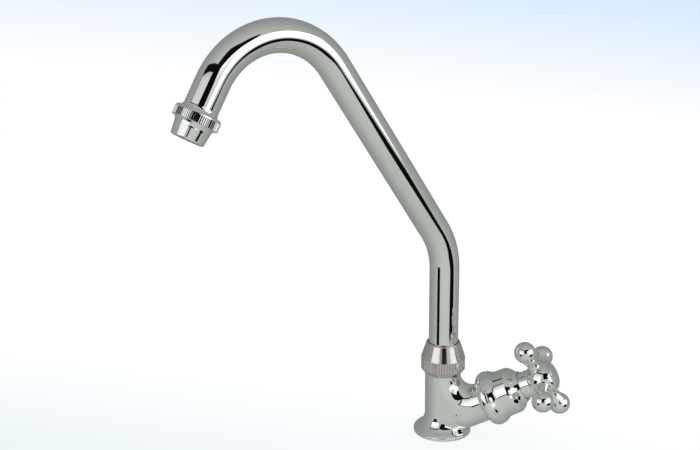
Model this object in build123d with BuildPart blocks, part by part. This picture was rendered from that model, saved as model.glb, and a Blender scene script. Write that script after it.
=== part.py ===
"""Single-hole kitchen tap with a high swivel spout and a cross handle.

The origin is the centre of the flange's underside, on the worktop. +Z is up and +X is the way
that the handle's branch leans. The spout stands where it is at rest, over the sink.
Angles are in degrees and sizes in millimetres. Threads are plain cylinders at their outer size.
"""

import os
from math import cos, radians, sin, sqrt, tan

from build123d import *

# Flange, cove and column of the body
flange_radius = 21.7
flange_edge = 2.1
rim_rounding = 0.8
cove_width = 5.9
cove_height = 10.4
cove_foot = 4.3
column_radius = 13.3
column_swell = 0.2
column_height = 48.0
neck_radius = 12.5
neck_height = 12.0
neck_bevel = 0.6

# Branch that carries the valve
branch_height = 9.7
branch_tilt = 29.4
branch_radius = 14.5
branch_root_radius = 12.9
branch_taper_length = 18.0
branch_length = 39.5
saddle_radius = 7.0
saddle_inset = 0.02
saddle_sections = 7
web_least_slope = 0.4
web_least_reach = 0.4

# Waterways inside the body
inlet_radius = 6.0
inlet_top = 12.0
seat_distance = 12.0
seat_bore_radius = 5.5
seat_land_width = 1.5
moat_depth = 1.2
outlet_radius = 6.5
outlet_bottom = 27.0
port_radius = 4.5
port_reach = 5.0
port_offset = 6.0
port_rise = 9.0
socket_radius = 10.0
socket_depth = 22.0

# Clearances
thread_gap = 0.05
running_gap = 0.08
free_gap = 0.3
face_gap = 0.05

# Tail, seals and fixings at the worktop
tail_radius = 11.0
tail_bore_radius = 7.0
tail_engagement = 7.0
tail_length = 68.0
tail_bevel = 1.0
hose_thread_radius = 10.48
hose_thread_length = 16.0
worktop_thickness = 30.0
base_gasket_inner = 15.5
base_gasket_width = 3.5
base_gasket_thickness = 2.0
clamp_radius = 19.5
rubber_thickness = 3.0
clamp_thickness = 2.0
backnut_flats = 30.0
backnut_height = 7.0

# Spout tube
tube_radius = 11.0
tube_wall = 1.0
spout_azimuth = 231.04
riser_top = 129.2
lower_bend_radius = 55.9
lower_bend_angle = 34.1
rising_length = 149.2
arch_radius = 51.0
arch_angle = 116.1
drop_length = 16.8

# Bush on the foot of the spout, with its sealing rings
bush_flange_radius = 11.7
bush_flange_height = 3.0
bush_bore_radius = 7.6
bush_depth = 20.0
bush_sleeve = 9.0
seal_section = 1.8
seal_count = 2
seal_pitch = 7.0
seal_first = 5.0
seal_room = 0.6

# Spout nut and its slip ring
nut_radius = 16.5
nut_foot_radius = 13.9
nut_chamfer = 3.2
nut_band = 9.2
nut_height = 24.4
nut_mouth_gap = 0.45
nut_lip = 0.5
nut_rounding = 0.9
nut_flutes = 54
flute_depth = 0.45
slip_ring_thickness = 1.6

# Tip of the spout and its aerator, measured along the tip from the tube's end
tip_collar_length = 3.0
tip_flare = 1.1
tip_thread_length = 7.2
tip_bore_radius = 8.5
tip_sleeve = 9.0
aerator_ring_radius = 14.9
aerator_shoulder = 2.0
aerator_band = 5.0
aerator_waist = 1.2
aerator_nozzle_radius = 11.7
aerator_mouth_radius = 10.9
aerator_throat = 11.1
aerator_length = 18.6
aerator_bore_radius = 9.7
aerator_lip_radius = 8.7
aerator_lip = 1.4
aerator_flutes = 70
aerator_washer_thickness = 1.5
insert_flange = 1.0
insert_length = 5.5
insert_slots = 12
insert_slot_width = 1.2
insert_slot_length = 4.2
insert_hub_radius = 3.8
screen_thickness = 0.8
screen_pitch = 2.4
screen_hole = 1.7
screen_rim = 1.0

# Headwork, measured along the branch from the column's axis
head_thread_radius = 10.4
head_nose = 23.0
head_washer_width = 3.2
head_washer_thickness = 1.2
head_flats = 24.0
head_hex_height = 5.0
barrel_radius = 11.5
barrel_length = 11.8
shaft_bore_length = 4.7
packing_radius = 8.5
packing_thickness = 3.2
gland_thread_length = 4.3
gland_flats = 17.0
gland_hex_height = 4.5

# Bell cover over the headwork, measured from its back face
cover_back_radius = 18.6
cover_back_wall = 1.0
cover_shoulder_radius = 19.6
cover_shoulder = 1.0
cover_band_radius = 20.5
cover_band = 4.4
cover_crease_radius = 19.95
cover_crease = 7.1
cover_crease_depth = 0.25
cover_drum_lean = 0.1
cover_drum_end_radius = 19.2
cover_drum_end = 9.2
cover_waist_radius = 17.3
cover_waist = 14.7
cover_edge_radius = 17.15
cover_edge = 22.0
cover_brow_radius = 14.2
cover_brow = 26.2
cover_brow_lean = 0.35
cover_mouth_radius = 11.3
cover_mouth_lean = 0.25
cover_length = 30.4
cover_wall = 1.7
collar_start = 11.1
collar_length = 6.4

# Washer, jumper and spindle
seat_washer_radius = 7.4
seat_washer_thickness = 4.0
jumper_plate_radius = 8.3
jumper_plate_thickness = 2.0
jumper_lip = 1.2
jumper_stem_radius = 2.9
jumper_stem_length = 11.0
jumper_stud_radius = 1.9
jumper_stud_tip = 0.6
washer_nut_flats = 7.0
washer_nut_height = 2.4
spindle_thread_radius = 6.5
spindle_radius = 4.5
shaft_length = 26.0
spindle_square = 6.2
spindle_square_length = 15.0
thread_lead = 2.5
open_turns = 1.5
thread_relief = 2.8

# Cross handle
stem_radius = 10.0
stem_rise = 2.6
stem_hollow_radius = 7.6
stem_hollow_depth = 5.5
hub_radius = 11.0
hub_back = 8.2
hub_chamfer = 1.0
hub_front = 9.3
hub_rounding = 1.8
arm_distance = 85.7
arm_length = 26.1
arm_waist_radius = 4.5
arm_waist = 13.5
arm_root = 6.0
arm_fillet = 1.5
ball_radius = 7.9
arm_count = 4
handle_angle = 17.5
screw_radius = 2.5
screw_length = 20.0
screw_head_radius = 4.4
screw_head_height = 3.0
screw_slot_width = 1.0
screw_slot_depth = 1.2
cap_pocket_radius = 7.2
cap_pocket_depth = 7.5
cap_radius = 8.1
cap_rim = 0.6
cap_dome = 1.4
cap_plug = 3.0

# Heights on the column that follow from the sizes above
cove_top = cove_foot + cove_height
column_top_radius = column_radius + column_swell
neck_top = column_height + neck_height
socket_bottom = neck_top - socket_depth
tube_bore_radius = tube_radius - tube_wall
tube_foot = neck_top + face_gap + bush_flange_height
bush_foot = neck_top - bush_depth
seal_outer = socket_radius - running_gap
groove_floor = seal_outer - seal_section - face_gap
slip_ring_start = tube_foot + face_gap
nut_ledge = slip_ring_start + slip_ring_thickness + face_gap
nut_start = column_height + face_gap
nut_top = nut_start + nut_height
tapped_neck_radius = neck_radius + thread_gap
tapped_tail_radius = tail_radius + thread_gap

# Distances along the branch that follow from the sizes above
tapped_head_radius = head_thread_radius + thread_gap
head_hex_start = branch_length + head_washer_thickness
barrel_start = head_hex_start + head_hex_height
barrel_end = barrel_start + barrel_length
packing_start = barrel_start + shaft_bore_length
gland_start = packing_start + packing_thickness
gland_hex_start = gland_start + gland_thread_length
gland_end = gland_hex_start + gland_hex_height
shaft_bore_radius = spindle_radius + running_gap
cover_start = branch_length + face_gap
cover_end = cover_start + cover_length
washer_start = seat_distance + face_gap
plate_start = washer_start + seat_washer_thickness
plate_end = plate_start + jumper_plate_thickness
spindle_start = plate_end + running_gap
shaft_start = barrel_start - thread_relief - thread_lead * open_turns
square_start = shaft_start + shaft_length
spindle_end = square_start + spindle_square_length
stem_start = gland_end + stem_rise
hub_start = arm_distance - hub_back
hub_end = arm_distance + hub_front
pocket_floor = hub_end - cap_pocket_depth

# Axis frames: Z runs along the pieces that a frame carries, and X is one way across them
tilt = radians(branch_tilt)
head = Plane(
    origin=(0, 0, branch_height),
    x_dir=(-sin(tilt), 0, cos(tilt)),
    z_dir=(cos(tilt), 0, sin(tilt)),
)
azimuth = radians(spout_azimuth)
spout_side = Plane(
    origin=(0, 0, 0),
    x_dir=(cos(azimuth), sin(azimuth), 0),
    z_dir=(sin(azimuth), -cos(azimuth), 0),
)


def section(frame):
    """Plane through a frame's axis, with the radius along X and the distance along Y."""
    return Plane(origin=frame.origin, x_dir=frame.x_dir, z_dir=-frame.y_dir)


def axis_of(frame):
    """The line that a frame's pieces are turned about."""
    return Axis(frame.origin, frame.z_dir)


def hex_block(frame, start, height, flats, bore):
    """A bored hexagon with its corners turned down at both ends."""
    corner = flats / sqrt(3)
    bevel = (corner - flats / 2) * tan(radians(30))
    with BuildPart() as block:
        with BuildSketch(frame.offset(start)):
            RegularPolygon(corner, 6)
            Circle(bore, mode=Mode.SUBTRACT)
        extrude(amount=height)
        with BuildSketch(section(frame)):
            with BuildLine():
                Polyline(
                    (0, start),
                    (flats / 2, start),
                    (corner, start + bevel),
                    (corner, start + height - bevel),
                    (flats / 2, start + height),
                    (0, start + height),
                    close=True,
                )
            make_face()
        revolve(axis=axis_of(frame), mode=Mode.INTERSECT)
    return block.part


def flute_cutters(frame, start, length, radius, count):
    """Square bars that cut straight V flutes round a piece of the given radius."""
    with BuildPart() as cutters:
        with BuildSketch(frame.offset(start)):
            with PolarLocations(radius, count):
                Rectangle(flute_depth * sqrt(2), flute_depth * sqrt(2), rotation=45)
        extrude(amount=length)
    return cutters.part


os.makedirs("parts", exist_ok=True)

# Body: a casting of flange, column and branch, joined by a web with a saddle in the crotch.
# The web is lofted on planes that turn about the crotch's centre. Each section is a half circle at
# the saddle, with flat sides that end on the axis it meets first, the column's or the branch's.
saddle_top_radius = column_top_radius - saddle_inset
saddle_end_radius = branch_radius - saddle_inset
column_room = (column_height - branch_height) * cos(tilt)
column_room -= saddle_end_radius + saddle_top_radius * sin(tilt)
branch_room = branch_length - saddle_top_radius / cos(tilt) - saddle_end_radius * tan(tilt)
crotch_radius = min(
    saddle_radius,
    column_room / (1 + sin(tilt)),
    branch_room / (1 / cos(tilt) + tan(tilt)),
)
crotch_x = saddle_top_radius + crotch_radius
crotch_z = saddle_end_radius + crotch_radius + crotch_x * sin(tilt)
crotch = Vector(crotch_x, 0, branch_height + crotch_z / cos(tilt))

with BuildPart() as tap_body:
    with BuildSketch(Plane.XZ):
        with BuildLine():
            cove = TangentArc(
                (column_radius, cove_top),
                (column_radius + cove_width, cove_foot),
                tangent=(0, -1),
            )
            TangentArc(cove @ 1, (flange_radius, flange_edge), tangent=cove % 1)
            Polyline((flange_radius, flange_edge), (flange_radius, 0), (0, 0))
            Polyline(
                (column_radius, cove_top),
                (column_top_radius, column_height),
                (neck_radius, column_height),
                (neck_radius, neck_top - neck_bevel),
                (neck_radius - neck_bevel, neck_top),
                (0, neck_top),
                (0, 0),
            )
        make_face()
    revolve(axis=Axis.Z)
    rim = edges().filter_by(GeomType.CIRCLE).sort_by(lambda edge: abs(edge.center().Z - flange_edge))[0]
    fillet(rim, min(rim_rounding, flange_edge / 2))
    with BuildSketch(section(head)):
        with BuildLine():
            Polyline(
                (0, 0),
                (branch_root_radius, 0),
                (branch_radius, branch_taper_length),
                (branch_radius, branch_length),
                (0, branch_length),
                close=True,
            )
        make_face()
    revolve(axis=axis_of(head))
    for step in range(saddle_sections):
        share = step / (saddle_sections - 1)
        turn = radians(180 + (90 + branch_tilt) * share)
        radius = saddle_top_radius + (saddle_end_radius - saddle_top_radius) * share
        outward = Vector(cos(turn), 0, sin(turn))
        centre = crotch + outward * (crotch_radius + radius)
        to_column = crotch_x / max(-outward.X, web_least_slope)
        to_branch = saddle_end_radius + crotch_radius
        to_branch /= max(outward.X * sin(tilt) - outward.Z * cos(tilt), web_least_slope)
        if to_column < to_branch:
            height = (crotch + outward * to_column).Z
            rise = max(height - cove_top, 0) / (column_height - cove_top)
            web_end = column_radius + column_swell * min(rise, 1) - saddle_inset
        else:
            along = (crotch + outward * to_branch - head.origin).dot(head.z_dir)
            taper = min(max(along, 0) / branch_taper_length, 1)
            web_end = branch_root_radius + (branch_radius - branch_root_radius) * taper - saddle_inset
        reach = max(min(to_column, to_branch) - crotch_radius - radius, web_least_reach)
        with BuildSketch(Plane(origin=centre, x_dir=outward, z_dir=(-sin(turn), 0, cos(turn)))):
            with BuildLine():
                ThreePointArc((0, radius), (-radius, 0), (0, -radius))
                Polyline((0, -radius), (reach, -web_end), (reach, web_end), (0, radius))
            make_face()
    loft()
    split(bisect_by=Plane.XY, keep=Keep.TOP)
    # Inlet, tail thread and the groove for the gasket, from below
    with BuildSketch(Plane.XZ):
        with BuildLine():
            Polyline(
                (0, 0),
                (tapped_tail_radius, 0),
                (tapped_tail_radius, tail_engagement),
                (inlet_radius, tail_engagement),
                (inlet_radius, inlet_top),
                (0, inlet_top),
                close=True,
            )
        make_face()
        with Locations((base_gasket_inner + base_gasket_width / 2, base_gasket_thickness / 2)):
            Rectangle(base_gasket_width, base_gasket_thickness)
    revolve(axis=Axis.Z, mode=Mode.SUBTRACT)
    # Outlet and the socket for the spout's bush, from above
    with BuildSketch(Plane.XZ):
        with BuildLine():
            Polyline(
                (0, outlet_bottom),
                (outlet_radius, outlet_bottom),
                (outlet_radius, socket_bottom),
                (socket_radius, socket_bottom),
                (socket_radius, neck_top - neck_bevel),
                (socket_radius + neck_bevel, neck_top),
                (0, neck_top),
                close=True,
            )
        make_face()
    revolve(axis=Axis.Z, mode=Mode.SUBTRACT)
    # Seat, moat and the tapped chamber for the headwork, from the branch's end
    with BuildSketch(section(head)):
        with BuildLine():
            Polyline(
                (0, 0),
                (seat_bore_radius, 0),
                (seat_bore_radius, seat_distance),
                (seat_bore_radius + seat_land_width, seat_distance),
                (seat_bore_radius + seat_land_width, seat_distance - moat_depth),
                (tapped_head_radius, seat_distance - moat_depth),
                (tapped_head_radius, branch_length),
                (0, branch_length),
                close=True,
            )
        make_face()
    revolve(axis=axis_of(head), mode=Mode.SUBTRACT)
    # Port from the chamber up to the outlet
    chamber_point = head.origin + head.z_dir * (seat_distance + port_reach)
    chamber_point += head.x_dir * port_offset
    outlet_point = Vector(0, 0, outlet_bottom + port_rise)
    with BuildSketch(Plane(origin=chamber_point, z_dir=outlet_point - chamber_point)):
        Circle(port_radius)
    extrude(amount=(outlet_point - chamber_point).length, mode=Mode.SUBTRACT)
tap_body.part.label = "tap_body"
export_step(tap_body.part, "parts/tap_body.step")

# Threaded tail under the body, turned down at its end for the nut of the supply hose
with BuildPart() as inlet_tail:
    tail_top = tail_engagement - free_gap
    hose_thread_top = hose_thread_length - tail_length
    with BuildSketch(Plane.XZ):
        with BuildLine():
            Polyline(
                (tail_bore_radius, tail_top),
                (tail_radius, tail_top),
                (tail_radius, hose_thread_top + tail_radius - hose_thread_radius),
                (hose_thread_radius, hose_thread_top),
                (hose_thread_radius, tail_bevel - tail_length),
                (hose_thread_radius - tail_bevel, -tail_length),
                (tail_bore_radius, -tail_length),
                close=True,
            )
        make_face()
    revolve(axis=Axis.Z)
inlet_tail.part.label = "inlet_tail"
export_step(inlet_tail.part, "parts/inlet_tail.step")

# Flat rings at the worktop: the gasket in the flange, and the rubber and clamp from below
rubber_start = -worktop_thickness - rubber_thickness
clamp_start = rubber_start - clamp_thickness
clamp_bore = tail_radius + free_gap
gasket_outer = base_gasket_inner + base_gasket_width

with BuildPart() as base_gasket:
    with BuildSketch(Plane.XY):
        Circle(gasket_outer - face_gap)
        Circle(base_gasket_inner + face_gap, mode=Mode.SUBTRACT)
    extrude(amount=base_gasket_thickness - face_gap)
base_gasket.part.label = "base_gasket"
export_step(base_gasket.part, "parts/base_gasket.step")

with BuildPart() as deck_rubber:
    with BuildSketch(Plane.XY.offset(rubber_start)):
        Circle(clamp_radius)
        Circle(clamp_bore, mode=Mode.SUBTRACT)
    extrude(amount=rubber_thickness)
deck_rubber.part.label = "deck_rubber"
export_step(deck_rubber.part, "parts/deck_rubber.step")

with BuildPart() as clamp_washer:
    with BuildSketch(Plane.XY.offset(clamp_start)):
        Circle(clamp_radius)
        Circle(clamp_bore, mode=Mode.SUBTRACT)
    extrude(amount=clamp_thickness)
clamp_washer.part.label = "clamp_washer"
export_step(clamp_washer.part, "parts/clamp_washer.step")

# Backnut that pulls the tap down on the worktop
with BuildPart() as backnut:
    add(
        hex_block(
            Plane.XY,
            clamp_start - backnut_height,
            backnut_height,
            backnut_flats,
            tapped_tail_radius,
        )
    )
backnut.part.label = "backnut"
export_step(backnut.part, "parts/backnut.step")

# Spout tube: riser, lower bend, rising run, arch and drop
with BuildPart() as spout_tube:
    with BuildLine(spout_side) as route:
        riser = Line((0, tube_foot), (0, riser_top))
        lower_bend = JernArc(riser @ 1, riser % 1, lower_bend_radius, -lower_bend_angle)
        rising = Line(lower_bend @ 1, lower_bend @ 1 + rising_length * (lower_bend % 1))
        arch = JernArc(rising @ 1, rising % 1, arch_radius, -arch_angle)
        drop = Line(arch @ 1, arch @ 1 + drop_length * (arch % 1))
    with BuildSketch(Plane.XY.offset(tube_foot)):
        Circle(tube_radius)
        Circle(tube_bore_radius, mode=Mode.SUBTRACT)
    sweep(path=route.line)
spout_tube.part.label = "spout_tube"
export_step(spout_tube.part, "parts/spout_tube.step")

# Frame at the tube's end, with Z along the falling water
tip = Plane(
    origin=route.line @ 1,
    x_dir=spout_side.z_dir,
    z_dir=route.line % 1,
)

# Bush brazed into the spout's foot, with a groove for each sealing ring
with BuildPart() as spout_bush:
    sleeve_radius = tube_bore_radius - thread_gap
    with BuildSketch(Plane.XZ):
        with BuildLine():
            Polyline(
                (bush_bore_radius, bush_foot),
                (seal_outer, bush_foot),
                (seal_outer, neck_top + face_gap),
                (bush_flange_radius, neck_top + face_gap),
                (bush_flange_radius, tube_foot),
                (sleeve_radius, tube_foot),
                (sleeve_radius, tube_foot + bush_sleeve),
                (bush_bore_radius, tube_foot + bush_sleeve),
                close=True,
            )
        make_face()
        for index in range(seal_count):
            seal_height = bush_foot + seal_first + index * seal_pitch
            groove_width = seal_section + seal_room
            with Locations((groove_floor, seal_height)):
                Rectangle(
                    seal_outer,
                    groove_width,
                    align=(Align.MIN, Align.CENTER),
                    mode=Mode.SUBTRACT,
                )
    revolve(axis=Axis.Z)
spout_bush.part.label = "spout_bush"
export_step(spout_bush.part, "parts/spout_bush.step")

with BuildPart() as spout_seals:
    for index in range(seal_count):
        seal_height = bush_foot + seal_first + index * seal_pitch
        with Locations((0, 0, seal_height)):
            Torus(seal_outer - seal_section / 2, seal_section / 2)
spout_seals.part.label = "spout_seals"
export_step(spout_seals.part, "parts/spout_seals.step")

with BuildPart() as slip_ring:
    with BuildSketch(Plane.XY.offset(slip_ring_start)):
        Circle(neck_radius)
        Circle(tube_radius + running_gap, mode=Mode.SUBTRACT)
    extrude(amount=slip_ring_thickness)
slip_ring.part.label = "slip_ring"
export_step(slip_ring.part, "parts/slip_ring.step")

# Conical nut that holds the spout down on the column, fluted for the fingers
band_start = nut_start + nut_chamfer
nut_cutters = flute_cutters(Plane.XY, band_start, nut_band, nut_radius, nut_flutes)
with BuildPart() as spout_nut:
    mouth = tube_radius + nut_mouth_gap
    with BuildSketch(Plane.XZ):
        with BuildLine():
            Polyline(
                (mouth + nut_lip, nut_top),
                (mouth, nut_top),
                (mouth, nut_ledge),
                (tapped_neck_radius, nut_ledge),
                (tapped_neck_radius, nut_start),
                (nut_foot_radius, nut_start),
                (nut_radius, band_start),
                (nut_radius, band_start + nut_band),
                (mouth + nut_lip + nut_rounding, nut_top - nut_rounding),
            )
            TangentArc(
                (mouth + nut_lip, nut_top),
                (mouth + nut_lip + nut_rounding, nut_top - nut_rounding),
                tangent=(1, 0),
            )
        make_face()
    revolve(axis=Axis.Z)
    add(nut_cutters, mode=Mode.SUBTRACT)
spout_nut.part.label = "spout_nut"
export_step(spout_nut.part, "parts/spout_nut.step")

# Threaded tip brazed into the tube's end, flaring out to the aerator
with BuildPart() as spout_tip:
    thread_end = tip_collar_length + tip_thread_length
    with BuildSketch(section(tip)):
        with BuildLine():
            Polyline(
                (tube_radius, 0),
                (tube_bore_radius - thread_gap, 0),
                (tube_bore_radius - thread_gap, -tip_sleeve),
                (tip_bore_radius, -tip_sleeve),
                (tip_bore_radius, thread_end),
                (tube_radius, thread_end),
                (tube_radius, tip_collar_length),
                (tube_radius + tip_flare, tip_collar_length),
            )
            TangentArc(
                (tube_radius, 0),
                (tube_radius + tip_flare, tip_collar_length),
                tangent=(0, 1),
            )
        make_face()
    revolve(axis=axis_of(tip))
spout_tip.part.label = "spout_tip"
export_step(spout_tip.part, "parts/spout_tip.step")

# Aerator housing: a fluted ring above a turned nozzle
ring_start = tip_collar_length + face_gap
flute_start = ring_start + aerator_shoulder
flute_end = flute_start + aerator_band
ring_end = flute_end + flute_depth
washer_seat = thread_end + face_gap
insert_start = washer_seat + aerator_washer_thickness + face_gap
insert_seat = insert_start + insert_flange + face_gap
nozzle_end = ring_start + aerator_length
screen_seat = nozzle_end - aerator_lip
tapped_tip_radius = tube_radius + thread_gap
aerator_cutters = flute_cutters(
    tip, flute_start, aerator_band, aerator_ring_radius, aerator_flutes
)
with BuildPart() as aerator_housing:
    with BuildSketch(section(tip)):
        with BuildLine():
            Polyline(
                (aerator_ring_radius, flute_start),
                (aerator_ring_radius, flute_end),
                (aerator_ring_radius - flute_depth, ring_end),
                (aerator_nozzle_radius + aerator_waist, ring_end),
            )
            TangentArc(
                (aerator_nozzle_radius, aerator_throat + ring_start),
                (aerator_nozzle_radius + aerator_waist, ring_end),
                tangent=(0, -1),
            )
            Polyline(
                (aerator_nozzle_radius, aerator_throat + ring_start),
                (aerator_mouth_radius, screen_seat),
            )
            TangentArc(
                (aerator_mouth_radius, screen_seat),
                (aerator_lip_radius + aerator_lip, nozzle_end),
                tangent=(0, 1),
            )
            Polyline(
                (aerator_lip_radius + aerator_lip, nozzle_end),
                (aerator_lip_radius, nozzle_end),
                (aerator_lip_radius, screen_seat),
                (aerator_bore_radius, screen_seat),
                (aerator_bore_radius, insert_seat),
                (tapped_tip_radius, insert_seat),
                (tapped_tip_radius, ring_start),
                (aerator_ring_radius - aerator_shoulder, ring_start),
            )
            TangentArc(
                (aerator_ring_radius, flute_start),
                (aerator_ring_radius - aerator_shoulder, ring_start),
                tangent=(0, -1),
            )
        make_face()
    revolve(axis=axis_of(tip))
    add(aerator_cutters, mode=Mode.SUBTRACT)
aerator_housing.part.label = "aerator_housing"
export_step(aerator_housing.part, "parts/aerator_housing.step")

with BuildPart() as aerator_washer:
    with BuildSketch(tip.offset(washer_seat)):
        Circle(tube_radius - face_gap)
        Circle(tip_bore_radius, mode=Mode.SUBTRACT)
    extrude(amount=aerator_washer_thickness)
aerator_washer.part.label = "aerator_washer"
export_step(aerator_washer.part, "parts/aerator_washer.step")

# Slotted insert that breaks up the water, hanging by its flange
with BuildPart() as aerator_insert:
    with BuildSketch(tip.offset(insert_start)):
        Circle(tube_radius - face_gap)
    extrude(amount=insert_flange)
    with BuildSketch(tip.offset(insert_start)):
        Circle(aerator_bore_radius - running_gap)
    extrude(amount=insert_length)
    with BuildSketch(tip.offset(insert_start)):
        with PolarLocations(insert_hub_radius + insert_slot_length / 2, insert_slots):
            Rectangle(insert_slot_length, insert_slot_width)
        Circle(insert_hub_radius, mode=Mode.SUBTRACT)
    extrude(amount=insert_length, mode=Mode.SUBTRACT)
aerator_insert.part.label = "aerator_insert"
export_step(aerator_insert.part, "parts/aerator_insert.step")

# Mesh screen lying on the nozzle's lip
with BuildPart() as aerator_screen:
    screen_radius = aerator_bore_radius - running_gap
    screen_rows = 2 * int(screen_radius / screen_pitch) + 1
    with BuildSketch(tip.offset(screen_seat - face_gap - screen_thickness)):
        Circle(screen_radius)
    extrude(amount=screen_thickness)
    with BuildSketch(tip.offset(screen_seat - face_gap - screen_thickness)):
        with GridLocations(screen_pitch, screen_pitch, screen_rows, screen_rows):
            Rectangle(screen_hole, screen_hole)
        Circle(screen_radius - screen_rim, mode=Mode.INTERSECT)
    extrude(amount=screen_thickness, mode=Mode.SUBTRACT)
aerator_screen.part.label = "aerator_screen"
export_step(aerator_screen.part, "parts/aerator_screen.step")

# Headwork: the threaded body that carries the spindle
head_hex = hex_block(head, head_hex_start, head_hex_height, head_flats, tapped_head_radius)
with BuildPart() as headwork_body:
    spindle_bore = spindle_thread_radius + thread_gap
    with BuildSketch(section(head)):
        with BuildLine():
            Polyline(
                (spindle_bore, head_nose),
                (head_thread_radius, head_nose),
                (head_thread_radius, head_hex_start),
                (barrel_radius, head_hex_start),
                (barrel_radius, barrel_end),
                (packing_radius, barrel_end),
                (packing_radius, packing_start),
                (shaft_bore_radius, packing_start),
                (shaft_bore_radius, barrel_start),
                (spindle_bore, barrel_start),
                close=True,
            )
        make_face()
    revolve(axis=axis_of(head))
    add(head_hex)
headwork_body.part.label = "headwork_body"
export_step(headwork_body.part, "parts/headwork_body.step")

with BuildPart() as headwork_joint:
    with BuildSketch(head.offset(branch_length)):
        Circle(tapped_head_radius + head_washer_width)
        Circle(tapped_head_radius, mode=Mode.SUBTRACT)
    extrude(amount=head_washer_thickness)
headwork_joint.part.label = "headwork_joint"
export_step(headwork_joint.part, "parts/headwork_joint.step")

with BuildPart() as gland_packing:
    with BuildSketch(head.offset(packing_start)):
        Circle(packing_radius - face_gap)
        Circle(shaft_bore_radius, mode=Mode.SUBTRACT)
    extrude(amount=packing_thickness)
gland_packing.part.label = "gland_packing"
export_step(gland_packing.part, "parts/gland_packing.step")

# Gland nut that squeezes the packing on the spindle
gland_hex = hex_block(head, gland_hex_start, gland_hex_height, gland_flats, shaft_bore_radius)
with BuildPart() as gland_nut:
    with BuildSketch(head.offset(gland_start)):
        Circle(packing_radius - thread_gap)
        Circle(shaft_bore_radius, mode=Mode.SUBTRACT)
    extrude(amount=gland_thread_length)
    add(gland_hex)
gland_nut.part.label = "gland_nut"
export_step(gland_nut.part, "parts/gland_nut.step")

# Bell cover: rounded band, crease, ogee waist and a brow that closes on the handle's stem
with BuildPart() as headwork_cover:
    collar_back = cover_start + collar_start
    collar_front = collar_back + collar_length
    inner_drum = cover_crease_radius - cover_wall
    inner_waist = cover_waist_radius - cover_wall
    inner_back = cover_start + cover_back_wall
    back_bore = head_flats / sqrt(3) + free_gap
    mouth_bore = stem_radius + free_gap + running_gap
    shoulder = (cover_shoulder_radius, cover_start + cover_shoulder)
    band_end = (cover_crease_radius, cover_start + cover_crease)
    drum_start = (cover_crease_radius, cover_start + cover_crease + 2 * cover_crease_depth)
    drum_end = (cover_drum_end_radius, cover_start + cover_drum_end)
    waist_start = (cover_waist_radius, cover_start + cover_waist)
    edge_corner = (cover_edge_radius, cover_start + cover_edge)
    brow = (cover_brow_radius, cover_start + cover_brow)
    with BuildSketch(section(head)):
        with BuildLine():
            Line((cover_back_radius, cover_start), shoulder)
            ThreePointArc(shoulder, (cover_band_radius, cover_start + cover_band), band_end)
            Polyline(
                band_end,
                (
                    cover_crease_radius - cover_crease_depth,
                    cover_start + cover_crease + cover_crease_depth,
                ),
                drum_start,
            )
            TangentArc(drum_start, drum_end, tangent=(-cover_drum_lean, 1))
            TangentArc(waist_start, drum_end, tangent=(0, -1))
            Line(waist_start, edge_corner)
            TangentArc(edge_corner, brow, tangent=(-cover_brow_lean, 1))
            TangentArc((cover_mouth_radius, cover_end), brow, tangent=(cover_mouth_lean, -1))
            Polyline(
                (cover_mouth_radius, cover_end),
                (mouth_bore, cover_end),
                (mouth_bore, cover_start + cover_brow + cover_wall),
                (inner_waist, collar_front + cover_wall),
                (inner_waist, collar_front),
                (barrel_radius + thread_gap, collar_front),
                (barrel_radius + thread_gap, collar_back),
                (inner_waist, collar_back),
                (inner_drum, cover_start + cover_drum_end - cover_wall),
                (inner_drum, inner_back + cover_wall),
                (cover_back_radius - cover_back_wall, inner_back),
                (back_bore, inner_back),
                (back_bore, cover_start),
                (cover_back_radius, cover_start),
            )
        make_face()
    revolve(axis=axis_of(head))
headwork_cover.part.label = "headwork_cover"
export_step(headwork_cover.part, "parts/headwork_cover.step")

# Seat washer, and the jumper that carries it without turning
with BuildPart() as seat_washer:
    with BuildSketch(head.offset(washer_start)):
        Circle(seat_washer_radius)
        Circle(jumper_stud_radius + running_gap, mode=Mode.SUBTRACT)
    extrude(amount=seat_washer_thickness)
seat_washer.part.label = "seat_washer"
export_step(seat_washer.part, "parts/seat_washer.step")

with BuildPart() as jumper:
    stud_end = washer_start - face_gap - washer_nut_height - jumper_stud_tip
    cup = seat_washer_radius + running_gap
    with BuildSketch(section(head)):
        with BuildLine():
            Polyline(
                (0, stud_end),
                (jumper_stud_radius, stud_end),
                (jumper_stud_radius, plate_start),
                (cup, plate_start),
                (cup, plate_start - jumper_lip),
                (jumper_plate_radius, plate_start - jumper_lip),
                (jumper_plate_radius, plate_end),
                (jumper_stem_radius, plate_end),
                (jumper_stem_radius, plate_end + jumper_stem_length),
                (0, plate_end + jumper_stem_length),
                close=True,
            )
        make_face()
    revolve(axis=axis_of(head))
jumper.part.label = "jumper"
export_step(jumper.part, "parts/jumper.step")

with BuildPart() as washer_nut:
    add(
        hex_block(
            head,
            washer_start - face_gap - washer_nut_height,
            washer_nut_height,
            washer_nut_flats,
            jumper_stud_radius + thread_gap,
        )
    )
washer_nut.part.label = "washer_nut"
export_step(washer_nut.part, "parts/washer_nut.step")

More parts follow.
